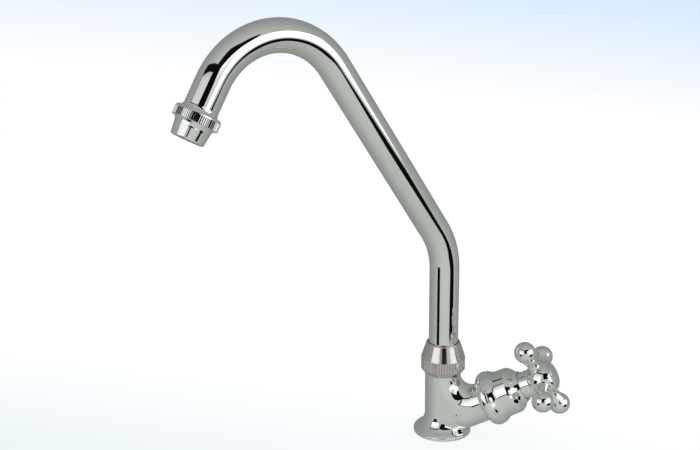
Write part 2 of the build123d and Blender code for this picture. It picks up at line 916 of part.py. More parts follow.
# Rising spindle: screw, shaft and a square for the handle
with BuildPart() as spindle:
    jumper_bore = jumper_stem_radius + running_gap
    with BuildSketch(section(head)):
        with BuildLine():
            Polyline(
                (jumper_bore, spindle_start),
                (spindle_thread_radius, spindle_start),
                (spindle_thread_radius, shaft_start),
                (spindle_radius, shaft_start),
                (spindle_radius, square_start),
                (0, square_start),
                (0, plate_end + jumper_stem_length + free_gap),
                (jumper_bore, plate_end + jumper_stem_length + free_gap),
                close=True,
            )
        make_face()
    revolve(axis=axis_of(head))
    with BuildSketch(head.offset(square_start)):
        Rectangle(spindle_square, spindle_square)
    extrude(amount=spindle_square_length)
    with BuildSketch(head.offset(spindle_end)):
        Circle(screw_radius + thread_gap)
    extrude(amount=pocket_floor - screw_length - free_gap - spindle_end, mode=Mode.SUBTRACT)
spindle.part.label = "spindle"
export_step(spindle.part, "parts/spindle.step")

# Cross handle: hollow stem, hub and four pear-shaped arms, each ending in a ball.
# The flank of an arm is the arc that leaves its waist along the arm and touches the ball.
flank_reach = arm_length - arm_waist
flank_radius = flank_reach**2 + arm_waist_radius**2 - ball_radius**2
flank_radius /= 2 * (ball_radius - arm_waist_radius)
touch = ball_radius / (flank_radius + ball_radius)
flank_end = (
    (arm_waist_radius + flank_radius) * touch,
    arm_length - flank_reach * touch,
)
with BuildPart() as cross_handle:
    with BuildSketch(section(head)):
        with BuildLine():
            Polyline(
                (0, stem_start),
                (stem_radius, stem_start),
                (stem_radius, hub_start),
                (hub_radius, hub_start + hub_chamfer),
                (hub_radius, hub_end - hub_rounding),
            )
            TangentArc(
                (hub_radius, hub_end - hub_rounding),
                (hub_radius - hub_rounding, hub_end),
                tangent=(0, 1),
            )
            Polyline(
                (hub_radius - hub_rounding, hub_end),
                (0, hub_end),
                (0, stem_start),
            )
        make_face()
    revolve(axis=axis_of(head))
    for index in range(arm_count):
        angle = radians(handle_angle) + index * radians(360) / arm_count
        across = head.x_dir * cos(angle) + head.y_dir * sin(angle)
        arm = Plane(
            origin=head.origin + head.z_dir * arm_distance,
            x_dir=head.z_dir,
            z_dir=across,
        )
        with BuildSketch(section(arm)):
            with BuildLine():
                Polyline(
                    (0, arm_length + ball_radius),
                    (0, arm_root),
                    (arm_waist_radius, arm_root),
                    (arm_waist_radius, arm_waist),
                )
                TangentArc((arm_waist_radius, arm_waist), flank_end, tangent=(0, 1))
                RadiusArc(flank_end, (0, arm_length + ball_radius), -ball_radius)
            make_face()
        revolve(axis=axis_of(arm))
    fillet(edges().filter_by(GeomType.BSPLINE), arm_fillet)
    with BuildSketch(section(head)):
        with BuildLine():
            Polyline(
                (0, pocket_floor),
                (cap_pocket_radius, pocket_floor),
                (cap_pocket_radius, hub_end),
                (0, hub_end),
                close=True,
            )
        make_face()
        with BuildLine():
            Polyline(
                (0, stem_start),
                (stem_hollow_radius, stem_start),
                (stem_hollow_radius, stem_start + stem_hollow_depth),
                (0, stem_start + stem_hollow_depth),
                close=True,
            )
        make_face()
    revolve(axis=axis_of(head), mode=Mode.SUBTRACT)
    with BuildSketch(head.offset(stem_start)):
        Rectangle(spindle_square + 2 * running_gap, spindle_square + 2 * running_gap)
    extrude(amount=spindle_end + free_gap - stem_start, mode=Mode.SUBTRACT)
    with BuildSketch(head.offset(spindle_end)):
        Circle(screw_radius + free_gap)
    extrude(amount=pocket_floor - spindle_end, mode=Mode.SUBTRACT)
cross_handle.part.label = "cross_handle"
export_step(cross_handle.part, "parts/cross_handle.step")

# Slotted screw that holds the handle on the spindle
with BuildPart() as handle_screw:
    with BuildSketch(head.offset(pocket_floor)):
        Circle(screw_radius)
    extrude(amount=-screw_length)
    with BuildSketch(head.offset(pocket_floor)):
        Circle(screw_head_radius)
    extrude(amount=screw_head_height)
    with BuildSketch(head.offset(pocket_floor + screw_head_height - screw_slot_depth)):
        Rectangle(2 * screw_head_radius, screw_slot_width)
    extrude(amount=screw_slot_depth, mode=Mode.SUBTRACT)
handle_screw.part.label = "handle_screw"
export_step(handle_screw.part, "parts/handle_screw.step")

# Index cap pressed into the hub
with BuildPart() as index_cap:
    with BuildSketch(section(head)):
        with BuildLine():
            Polyline(
                (0, hub_end + cap_rim + cap_dome),
                (0, hub_end - cap_plug),
                (cap_pocket_radius - running_gap, hub_end - cap_plug),
                (cap_pocket_radius - running_gap, hub_end + face_gap),
                (cap_radius, hub_end + face_gap),
                (cap_radius, hub_end + cap_rim),
            )
            TangentArc(
                (0, hub_end + cap_rim + cap_dome),
                (cap_radius, hub_end + cap_rim),
                tangent=(1, 0),
            )
        make_face()
    revolve(axis=axis_of(head))
index_cap.part.label = "index_cap"
export_step(index_cap.part, "parts/index_cap.step")
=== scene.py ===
"""Looks of the kitchen tap: its finishes, the tail's cut threads, the cast handle and the studio."""

import logging
from dataclasses import dataclass, field
from enum import Enum
from math import cos, degrees, pi, radians, sin, sqrt, tan

import bpy
from mathutils import Euler, Matrix, Vector


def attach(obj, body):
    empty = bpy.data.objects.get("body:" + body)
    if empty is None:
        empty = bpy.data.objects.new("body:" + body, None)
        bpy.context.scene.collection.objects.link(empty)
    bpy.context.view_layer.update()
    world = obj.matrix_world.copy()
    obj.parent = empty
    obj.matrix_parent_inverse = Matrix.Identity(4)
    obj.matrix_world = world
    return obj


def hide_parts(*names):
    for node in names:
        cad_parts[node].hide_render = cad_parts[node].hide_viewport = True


LOG = logging.getLogger("kitchen_tap")

Colour = tuple[float, float, float]

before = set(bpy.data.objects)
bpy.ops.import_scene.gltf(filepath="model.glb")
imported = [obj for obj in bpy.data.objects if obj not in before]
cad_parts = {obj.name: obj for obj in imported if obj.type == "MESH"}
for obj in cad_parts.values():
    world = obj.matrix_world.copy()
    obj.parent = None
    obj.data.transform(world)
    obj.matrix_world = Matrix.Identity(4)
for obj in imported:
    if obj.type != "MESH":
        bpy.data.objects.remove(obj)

IMAGE_WIDTH = 700
BRANCH_TILT = radians(29.4)
CAMERA_AZIMUTH = radians(-77.132)
MERGE_DISTANCE = 1e-6
CUT_TOLERANCE = 1e-7


class TurnedAbout(Enum):
    """The axis that a piece was turned about on the lathe, as a point on it and its direction."""

    COLUMN = ((0.0, 0.0, 0.0), (0.0, 0.0, 1.0))
    BRANCH = ((0.0, 0.0, 0.0097), (cos(BRANCH_TILT), 0.0, sin(BRANCH_TILT)))
    TIP = ((-0.12209, -0.15099, 0.25563), (0.3125, 0.3864, 0.8678))

    @property
    def point(self) -> Vector:
        """A point on the axis, in metres."""
        return Vector(self.value[0])

    @property
    def way(self) -> Vector:
        """The axis's direction, of length 1."""
        return Vector(self.value[1]).normalized()


def rgba(colour: Colour) -> tuple[float, float, float, float]:
    """The same colour with full alpha."""
    return (*colour, 1.0)


def deselect_all() -> None:
    """Leaves no object selected, so that the next operator acts on its own piece alone."""
    bpy.ops.object.select_all(action="DESELECT")


def pick(piece: bpy.types.Object) -> None:
    """Makes a piece the active one and the only one that is selected.

    Args:
        piece: The piece's object.
    """
    deselect_all()
    bpy.context.view_layer.objects.active = piece
    piece.select_set(True)


def apply_modifier(piece: bpy.types.Object, kind: str, **settings: object) -> None:
    """Adds one modifier to a piece and applies it.

    Args:
        piece: The piece's object.
        kind: The modifier's type.
        settings: The modifier's own options.
    """
    pick(piece)
    bpy.ops.object.modifier_add(type=kind)
    modifier = piece.modifiers[-1]
    for name, value in settings.items():
        setattr(modifier, name, value)
    bpy.ops.object.modifier_apply(modifier=modifier.name)


def combine(piece: bpy.types.Object, tool: bpy.types.Object, operation: str) -> None:
    """Joins or intersects a piece with a tool, and deletes the tool.

    Args:
        piece: What is changed.
        tool: The closed solid that changes it.
        operation: UNION or INTERSECT.
    """
    apply_modifier(piece, "BOOLEAN", operation=operation, solver="EXACT", object=tool)
    pick(tool)
    bpy.ops.object.delete()


def merged_copy(node: str) -> bpy.types.Object:
    """Copies a CAD node and merges its loose triangles into one closed mesh.

    Args:
        node: The node's name.

    Returns:
        The copy.
    """
    pick(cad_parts[node])
    bpy.ops.object.duplicate()
    copy = bpy.context.active_object
    bpy.ops.object.mode_set(mode="EDIT")
    bpy.ops.mesh.select_all(action="SELECT")
    bpy.ops.mesh.remove_doubles(threshold=MERGE_DISTANCE)
    bpy.ops.object.mode_set(mode="OBJECT")
    return copy


class Graph:
    """Adds nodes to one node tree and links them."""

    def __init__(self, tree: bpy.types.NodeTree) -> None:
        """Takes the tree to build in.

        Args:
            tree: The node tree of a material, a world, a lamp or a node group.
        """
        self.tree = tree

    def add(
        self,
        kind: str,
        inputs: dict[str | int, object] | None = None,
        **settings: object,
    ) -> bpy.types.Node:
        """Adds one node.

        Args:
            kind: The node's type name.
            inputs: What each input gets, a value or another node's output.
            settings: The node's own options.

        Returns:
            The new node.
        """
        node = self.tree.nodes.new(kind)
        for name, value in settings.items():
            setattr(node, name, value)
        for name, value in (inputs or {}).items():
            self.feed(node.inputs[name], value)
        return node

    def feed(self, socket: bpy.types.NodeSocket, value: object) -> None:
        """Links an output to a socket, or sets the socket's value.

        Args:
            socket: The input socket.
            value: Another node's output, or a plain value.
        """
        if isinstance(value, bpy.types.NodeSocket):
            self.tree.links.new(value, socket)
        else:
            socket.default_value = value

    def maths(self, operation: str, *values: object) -> bpy.types.NodeSocket:
        """Adds one Math node.

        Args:
            operation: The Math node's operation.
            values: Its inputs, in order.

        Returns:
            The node's output.
        """
        node = self.add("ShaderNodeMath", dict(enumerate(values)), operation=operation)
        return node.outputs[0]

    def total(self, *terms: tuple[object, float]) -> bpy.types.NodeSocket:
        """Adds up values, each at its own weight.

        Args:
            terms: Each value and its weight.

        Returns:
            The sum.
        """
        (value, weight), *others = terms
        so_far = self.maths("MULTIPLY", value, weight)
        for value, weight in others:
            so_far = self.maths("MULTIPLY_ADD", value, weight, so_far)
        return so_far

    def along(self, first: object, second: object) -> bpy.types.NodeSocket:
        """How far one vector reaches along another, as their dot product.

        Args:
            first: The one vector.
            second: The other one.

        Returns:
            The product.
        """
        node = self.add("ShaderNodeVectorMath", {0: first, 1: second}, operation="DOT_PRODUCT")
        return node.outputs["Value"]

    def noise(self, place: object, scale: object, detail: float = 3.0) -> bpy.types.NodeSocket:
        """Adds one Noise Texture.

        Args:
            place: The coordinates to read.
            scale: Features for each metre.
            detail: Octaves of finer noise.

        Returns:
            The noise value, about 0.5 on average.
        """
        inputs = {"Vector": place, "Scale": scale, "Detail": detail}
        return self.add("ShaderNodeTexNoise", inputs).outputs[0]

    def between(
        self,
        value: object,
        low: float,
        high: float,
        to_low: object = 0.0,
        to_high: object = 1.0,
    ) -> bpy.types.NodeSocket:
        """Maps a value from one range to another, and stops at the ends.

        Args:
            value: What is mapped.
            low: Start of the range that it comes from.
            high: End of that range.
            to_low: What low becomes.
            to_high: What high becomes.

        Returns:
            The mapped value.
        """
        inputs = {0: value, 1: low, 2: high, 3: to_low, 4: to_high}
        return self.add("ShaderNodeMapRange", inputs).outputs[0]

    def blend(self, share: object, first: object, second: object) -> bpy.types.NodeSocket:
        """Mixes two colours.

        Args:
            share: How much of the second one shows.
            first: The colour where the share is 0.
            second: The colour where the share is 1.

        Returns:
            The mixed colour.
        """
        node = self.add("ShaderNodeMix", data_type="RGBA")
        self.feed(node.inputs[0], share)
        self.feed(node.inputs[6], first)
        self.feed(node.inputs[7], second)
        return node.outputs[2]


def new_group(name: str, sockets: dict[str, float | None], outputs: list[str]) -> Graph:
    """Starts a shader node group with its inputs and outputs.

    Args:
        name: The group's name.
        sockets: Each input's name and its value, or None for a vector.
        outputs: The names of the values that it puts out.

    Returns:
        A graph to build the group's inside in.
    """
    tree = bpy.data.node_groups.new(name, "ShaderNodeTree")
    for socket, value in sockets.items():
        kind = "NodeSocketVector" if value is None else "NodeSocketFloat"
        item = tree.interface.new_socket(socket, in_out="INPUT", socket_type=kind)
        if value is not None:
            item.default_value = value
    for socket in outputs:
        tree.interface.new_socket(socket, in_out="OUTPUT", socket_type="NodeSocketFloat")
    return Graph(tree)


def blank_material(name: str) -> tuple[bpy.types.Material, Graph]:
    """Starts a material that has no nodes yet.

    Args:
        name: The material's name.

    Returns:
        The material, and a graph to build it in.
    """
    material = bpy.data.materials.new(name)
    material.use_nodes = True
    material.node_tree.nodes.clear()
    return material, Graph(material.node_tree)


class SurfaceEffects:
    """The marks that more than one finish shares, each a node group that is built once."""

    FACE_SHARE = 0.83
    """How much of its radius a place adds to its height, so that flat faces show rings too."""

    @staticmethod
    def _made(name: str) -> bpy.types.NodeTree | None:
        """The group of that name, or None before it is built."""
        return bpy.data.node_groups.get(name)

    @classmethod
    def handling(cls) -> bpy.types.NodeTree:
        """Wiping smears, fine hairlines and the slight waves that polishing leaves.

        Returns:
            The group: Place, Plain Roughness, Smears and Wave Scale in, Roughness and Height out.
        """
        if cls._made("handling_marks"):
            return cls._made("handling_marks")
        graph = new_group(
            "handling_marks",
            {"Place": None, "Plain Roughness": 0.05, "Smears": 0.03, "Wave Scale": 45.0},
            ["Roughness", "Height"],
        )
        ins = graph.add("NodeGroupInput").outputs
        patches = graph.between(graph.noise(ins["Place"], scale=38.0, detail=4.0), 0.42, 0.72)
        turned = graph.add(
            "ShaderNodeMapping",
            {"Vector": ins["Place"], "Rotation": (0.5, 0.8, 0.3), "Scale": (1.0, 14.0, 1.0)},
        )
        wiped = graph.between(graph.noise(turned.outputs[0], scale=160.0, detail=2.0), 0.5, 0.8)
        specks = graph.between(graph.noise(ins["Place"], scale=2600.0, detail=1.0), 0.72, 0.8)
        marks = graph.total((patches, 0.6), (wiped, 0.3), (specks, 0.5))
        roughness = graph.maths("MULTIPLY_ADD", marks, ins["Smears"], ins["Plain Roughness"])
        waves = graph.add(
            "ShaderNodeTexNoise",
            {"Vector": ins["Place"], "Scale": ins["Wave Scale"], "Detail": 1.0, "Roughness": 0.4},
        )
        graph.add("NodeGroupOutput", {"Roughness": roughness, "Height": waves.outputs[0]})
        return graph.tree

    @classmethod
    def lathe_rings(cls) -> bpy.types.NodeTree:
        """Fine rings that a turning tool leaves round a piece.

        Returns:
            The group: Place in the piece's own frame, Pitch in metres and Unevenness in, Rings
            and Height out.
        """
        if cls._made("lathe_rings"):
            return cls._made("lathe_rings")
        graph = new_group(
            "lathe_rings",
            {"Place": None, "Pitch": 0.0002, "Unevenness": 0.5},
            ["Rings", "Height"],
        )
        ins = graph.add("NodeGroupInput").outputs
        parts = graph.add("ShaderNodeSeparateXYZ", {0: ins["Place"]}).outputs
        across = graph.add("ShaderNodeCombineXYZ", {0: parts[0], 1: parts[1]}).outputs[0]
        radius = graph.add("ShaderNodeVectorMath", {0: across}, operation="LENGTH").outputs["Value"]
        travel = graph.maths("MULTIPLY_ADD", radius, cls.FACE_SHARE, parts[2])
        uneven = graph.add("ShaderNodeCombineXYZ", {2: travel}).outputs[0]
        deep = graph.noise(uneven, scale=900.0)
        turns = graph.maths("DIVIDE", travel, ins["Pitch"])
        ridge = graph.maths("ABSOLUTE", graph.maths("SUBTRACT", graph.maths("FRACT", turns), 0.5))
        swing = graph.maths("SUBTRACT", deep, 0.5)
        height = graph.maths("MULTIPLY_ADD", swing, ins["Unevenness"], ridge)
        rings = graph.between(deep, 0.35, 0.65)
        graph.add("NodeGroupOutput", {"Rings": rings, "Height": height})
        return graph.tree

    @classmethod
    def tarnish(cls) -> bpy.types.NodeTree:
        """Cloudy patches where bare metal has dulled, with small darker spots.

        Returns:
            The group: Place and Scale in, Cover and Spots out.
        """
        if cls._made("tarnish"):
            return cls._made("tarnish")
        graph = new_group("tarnish", {"Place": None, "Scale": 90.0}, ["Cover", "Spots"])
        ins = graph.add("NodeGroupInput").outputs
        cover = graph.between(graph.noise(ins["Place"], ins["Scale"], detail=6.0), 0.4, 0.68)
        cells = graph.add("ShaderNodeTexVoronoi", {"Vector": ins["Place"], "Scale": 700.0})
        spots = graph.between(cells.outputs["Distance"], 0.12, 0.3, to_low=1.0, to_high=0.0)
        graph.add("NodeGroupOutput", {"Cover": cover, "Spots": spots})
        return graph.tree

    @classmethod
    def grain(cls) -> bpy.types.NodeTree:
        """The even, fine grain of a moulded or pressed surface.

        Returns:
            The group: Place and Scale in, Mask and Height out.
        """
        if cls._made("moulded_grain"):
            return cls._made("moulded_grain")
        graph = new_group("moulded_grain", {"Place": None, "Scale": 2500.0}, ["Mask", "Height"])
        ins = graph.add("NodeGroupInput").outputs
        fine = graph.noise(ins["Place"], ins["Scale"], detail=4.0)
        broad = graph.noise(ins["Place"], scale=120.0, detail=2.0)
        height = graph.maths("MULTIPLY_ADD", broad, 0.5, fine)
        mask = graph.between(height, 0.55, 0.95)
        graph.add("NodeGroupOutput", {"Mask": mask, "Height": height})
        return graph.tree


class MaterialBuilder:
    """One material with a Principled shader, ready for its finish's own nodes."""

    def __init__(self, name: str, metallic: float) -> None:
        """Starts the material.

        Args:
            name: The material's name.
            metallic: 1 for a metal and 0 for anything else.
        """
        self.material, self.graph = blank_material(name)
        self.shader = self.graph.add("ShaderNodeBsdfPrincipled", {"Metallic": metallic, "IOR": 1.5})
        self.graph.add("ShaderNodeOutputMaterial", {"Surface": self.shader.outputs[0]})
        self.place = self.graph.add("ShaderNodeTexCoord").outputs["Object"]

    def about(self, axis: TurnedAbout) -> bpy.types.NodeSocket:
        """Object coordinates turned so that Z runs along an axis and passes through the origin.

        Args:
            axis: The axis that the piece was turned about.

        Returns:
            The turned coordinates.
        """
        turn = axis.way.to_track_quat("Z", "Y")
        mapping = self.graph.add(
            "ShaderNodeMapping",
            {"Vector": self.place, "Location": axis.point, "Rotation": turn.to_euler()},
            vector_type="TEXTURE",
        )
        return mapping.outputs[0]

    def group(self, tree: bpy.types.NodeTree, **values: object) -> bpy.types.NodeOutputs:
        """Places a node group in the material.

        Args:
            tree: The group.
            values: Its inputs, with _ for the spaces in their names.

        Returns:
            The group node's outputs.
        """
        node = self.graph.add("ShaderNodeGroup", node_tree=tree)
        for name, value in values.items():
            self.graph.feed(node.inputs[name.replace("_", " ")], value)
        return node.outputs

    def set(self, **values: object) -> None:
        """Sets or links sockets of the shader.

        Args:
            values: What each socket gets, with _ for the spaces in its name.
        """
        for name, value in values.items():
            self.graph.feed(self.shader.inputs[name.replace("_", " ")], value)

    def bump(self, *layers: tuple[object, float]) -> None:
        """Feeds the shader's normal from one or more heights.

        Args:
            layers: Each height from 0 to 1 and its depth in metres.
        """
        normal = None
        for height, depth in layers:
            node = self.graph.add(
                "ShaderNodeBump", {"Height": height, "Distance": depth, "Strength": 1.0}
            )
            if normal is not None:
                self.graph.feed(node.inputs["Normal"], normal)
            normal = node.outputs[0]
        self.graph.feed(self.shader.inputs["Normal"], normal)


@dataclass(frozen=True)
class PolishedChrome:
    """Mirror-polished chrome plate over cast, turned or drawn brass."""

    name: str
    colour: Colour = (0.868, 0.884, 0.868)
    shade: Colour = (0.81, 0.828, 0.812)
    roughness: float = 0.035
    smears: float = 0.05
    film_scale: float = 55.0
    wave_scale: float = 45.0
    wave_depth: float = 0.00004
    rings_about: TurnedAbout | None = None
    ring_pitch: float = 0.0006
    ring_depth: float = 0.0000006

    def build(self) -> bpy.types.Material:
        """The finish's material."""
        made = MaterialBuilder(self.name, metallic=1.0)
        marks = made.group(
            SurfaceEffects.handling(),
            Place=made.place,
            Plain_Roughness=self.roughness,
            Smears=self.smears,
            Wave_Scale=self.wave_scale,
        )
        film = made.graph.between(
            made.graph.noise(made.place, self.film_scale, detail=5.0), 0.45, 0.75
        )
        made.set(
            Base_Color=made.graph.blend(film, rgba(self.colour), rgba(self.shade)),
            Roughness=marks["Roughness"],
        )
        layers = [(marks["Height"], self.wave_depth)]
        if self.rings_about is not None:
            place = made.about(self.rings_about)
            rings = made.group(SurfaceEffects.lathe_rings(), Place=place, Pitch=self.ring_pitch)
            layers.append((rings["Height"], self.ring_depth))
        made.bump(*layers)
        return made.material


@dataclass(frozen=True)
class SatinChrome:
    """Chrome plate over a surface left as the lathe cut it, a little duller and warmer."""

    name: str
    colour: Colour = (0.7, 0.67, 0.645)
    shade: Colour = (0.6, 0.57, 0.545)
    roughness: float = 0.1
    smears: float = 0.12
    streak: float = 0.3
    wave_depth: float = 0.00003
    ring_pitch: float = 0.00035
    ring_depth: float = 0.0000025
    ring_tint: float = 0.6

    def build(self) -> bpy.types.Material:
        """The finish's material."""
        made = MaterialBuilder(self.name, metallic=1.0)
        place = made.about(TurnedAbout.COLUMN)
        rings = made.group(SurfaceEffects.lathe_rings(), Place=place, Pitch=self.ring_pitch)
        marks = made.group(
            SurfaceEffects.handling(),
            Place=made.place,
            Plain_Roughness=self.roughness,
            Smears=self.smears,
        )
        tint = made.graph.maths("MULTIPLY", rings["Rings"], self.ring_tint)
        tangent = made.graph.add("ShaderNodeTangent", direction_type="RADIAL", axis="Z")
        made.set(
            Base_Color=made.graph.blend(tint, rgba(self.colour), rgba(self.shade)),
            Roughness=marks["Roughness"],
            Anisotropic=self.streak,
            Tangent=tangent.outputs[0],
        )
        made.bump((marks["Height"], self.wave_depth), (rings["Height"], self.ring_depth))
        return made.material


@dataclass(frozen=True)
class TurnedBrass:
    """Bare brass as the lathe left it, with a little tarnish."""

    name: str
    about: TurnedAbout
    colour: Colour = (0.78, 0.6, 0.31)
    dull: Colour = (0.42, 0.29, 0.14)
    roughness: float = 0.24
    dull_roughness: float = 0.5
    tarnish_scale: float = 110.0
    ring_pitch: float = 0.0003
    ring_depth: float = 0.000006

    def build(self) -> bpy.types.Material:
        """The finish's material."""
        made = MaterialBuilder(self.name, metallic=1.0)
        place = made.about(self.about)
        rings = made.group(SurfaceEffects.lathe_rings(), Place=place, Pitch=self.ring_pitch)
        old = made.group(SurfaceEffects.tarnish(), Place=made.place, Scale=self.tarnish_scale)
        dulled = made.graph.total((old["Cover"], 0.45), (old["Spots"], 0.25), (rings["Rings"], 0.15))
        share = made.graph.maths("MINIMUM", dulled, 1.0)
        made.set(
            Base_Color=made.graph.blend(share, rgba(self.colour), rgba(self.dull)),
            Roughness=made.graph.between(share, 0.0, 1.0, self.roughness, self.dull_roughness),
        )
        made.bump((rings["Height"], self.ring_depth))
        return made.material


@dataclass(frozen=True)
class ZincPlate:
    """Zinc-plated pressed steel with the faint crystals of its plating."""

    name: str
    colour: Colour = (0.66, 0.68, 0.67)
    bluish: Colour = (0.54, 0.58, 0.62)
    roughness: float = 0.26
    dull_roughness: float = 0.44
    crystal_scale: float = 420.0
    crystal_depth: float = 0.00001
    tarnish_scale: float = 60.0

    def build(self) -> bpy.types.Material:
        """The finish's material."""
        made = MaterialBuilder(self.name, metallic=1.0)
        crystals = made.graph.add(
            "ShaderNodeTexVoronoi",
            {"Vector": made.place, "Scale": self.crystal_scale},
            feature="SMOOTH_F1",
        )
        old = made.group(SurfaceEffects.tarnish(), Place=made.place, Scale=self.tarnish_scale)
        shine = made.graph.between(crystals.outputs["Distance"], 0.0, 0.8)
        share = made.graph.total((old["Cover"], 0.4), (shine, 0.5))
        made.set(
            Base_Color=made.graph.blend(share, rgba(self.colour), rgba(self.bluish)),
            Roughness=made.graph.between(share, 0.0, 1.0, self.roughness, self.dull_roughness),
        )
        made.bump((shine, self.crystal_depth))
        return made.material


@dataclass(frozen=True)
class Moulding:
    """A moulded or pressed piece of rubber, plastic or packing."""

    name: str
    colour: Colour
    shade: Colour
    roughness: float
    grain_scale: float
    grain_depth: float
    sheen: float = 0.0
    worn_by: float = 0.12
    cloud_scale: float = 70.0

    def build(self) -> bpy.types.Material:
        """The finish's material."""
        made = MaterialBuilder(self.name, metallic=0.0)
        grain = made.group(SurfaceEffects.grain(), Place=made.place, Scale=self.grain_scale)
        old = made.group(SurfaceEffects.tarnish(), Place=made.place, Scale=self.cloud_scale)
        share = made.graph.total((old["Cover"], 0.4), (grain["Mask"], 0.5))
        worn = self.roughness + self.worn_by
        made.set(
            Base_Color=made.graph.blend(share, rgba(self.colour), rgba(self.shade)),
            Roughness=made.graph.between(share, 0.0, 1.0, self.roughness, worn),
            Sheen_Weight=self.sheen,
        )
        made.bump((grain["Height"], self.grain_depth))
        return made.material


@dataclass(frozen=True)
class SteelMesh:
    """Fine stainless mesh pressed into a disc, with painted shade in the gaps between its wires."""

    name: str
    colour: Colour = (0.62, 0.63, 0.64)
    # the dark colour between the wires is painted shade, not the steel's own colour
    painted_gap_shade: Colour = (0.16, 0.16, 0.17)
    wire_roughness: float = 0.28
    gap_roughness: float = 0.5
    wire_pitch: float = 0.0006
    wire_depth: float = 0.0001

    def build(self) -> bpy.types.Material:
        """The finish's material."""
        made = MaterialBuilder(self.name, metallic=1.0)
        graph = made.graph
        parts = graph.add("ShaderNodeSeparateXYZ", {0: made.about(TurnedAbout.TIP)}).outputs
        turns = 2 * pi / self.wire_pitch
        wires = [graph.maths("SINE", graph.maths("MULTIPLY", parts[k], turns)) for k in (0, 1)]
        weave = graph.maths("MAXIMUM", *wires)
        shown = graph.between(weave, -0.2, 0.5)
        made.set(
            # between the wires the base colour turns dark: painted shade in the gaps
            Base_Color=graph.blend(shown, rgba(self.painted_gap_shade), rgba(self.colour)),
            Roughness=graph.between(weave, -1.0, 1.0, self.gap_roughness, self.wire_roughness),
        )
        made.bump((graph.between(weave, -1.0, 1.0), self.wire_depth))
        return made.material


class Finish(Enum):
    """Every finish on the tap. Each is built once, when a piece first asks for it."""

    CAST_CHROME = PolishedChrome("cast_chrome", wave_scale=55.0, wave_depth=0.00006)
    DRAWN_CHROME = PolishedChrome("drawn_chrome", wave_scale=30.0, wave_depth=0.00002)
    COVER_CHROME = PolishedChrome("cover_chrome", rings_about=TurnedAbout.BRANCH)
    TIP_CHROME = PolishedChrome("tip_chrome", rings_about=TurnedAbout.TIP, roughness=0.05)
    SATIN_CHROME = SatinChrome("turned_chrome")
    COLUMN_BRASS = TurnedBrass("column_brass", TurnedAbout.COLUMN)
    BRANCH_BRASS = TurnedBrass("branch_brass", TurnedAbout.BRANCH)
    ZINC = ZincPlate("zinc_plate")
    RUBBER = Moulding(
        "nitrile_rubber",
        colour=(0.022, 0.022, 0.023),
        shade=(0.05, 0.05, 0.048),
        roughness=0.5,
        grain_scale=1800.0,
        grain_depth=0.00003,
    )
    ACETAL = Moulding(
        "white_acetal",
        colour=(0.84, 0.84, 0.81),
        shade=(0.74, 0.735, 0.7),
        roughness=0.36,
        grain_scale=1200.0,
        grain_depth=0.000012,
    )
    PACKING = Moulding(
        "fibre_packing",
        colour=(0.3, 0.3, 0.29),
        shade=(0.12, 0.12, 0.12),
        roughness=0.7,
        grain_scale=900.0,
        grain_depth=0.00012,
        sheen=0.2,
    )
    MESH = SteelMesh("steel_mesh")

    @property
    def material(self) -> bpy.types.Material:
        """The finish's material."""
        return bpy.data.materials.get(self.value.name) or self.value.build()


def dress(piece: bpy.types.Object, finish: Finish) -> None:
    """Gives a piece its finish and reports it.

    Args:
        piece: The piece's object.
        finish: Its finish.
    """
    if piece.data.materials:
        for place in range(len(piece.material_slots)):
            piece.material_slots[place].material = finish.material
    else:
        piece.data.materials.append(finish.material)
    LOG.info("%s: %s", piece.name, finish.value.name)


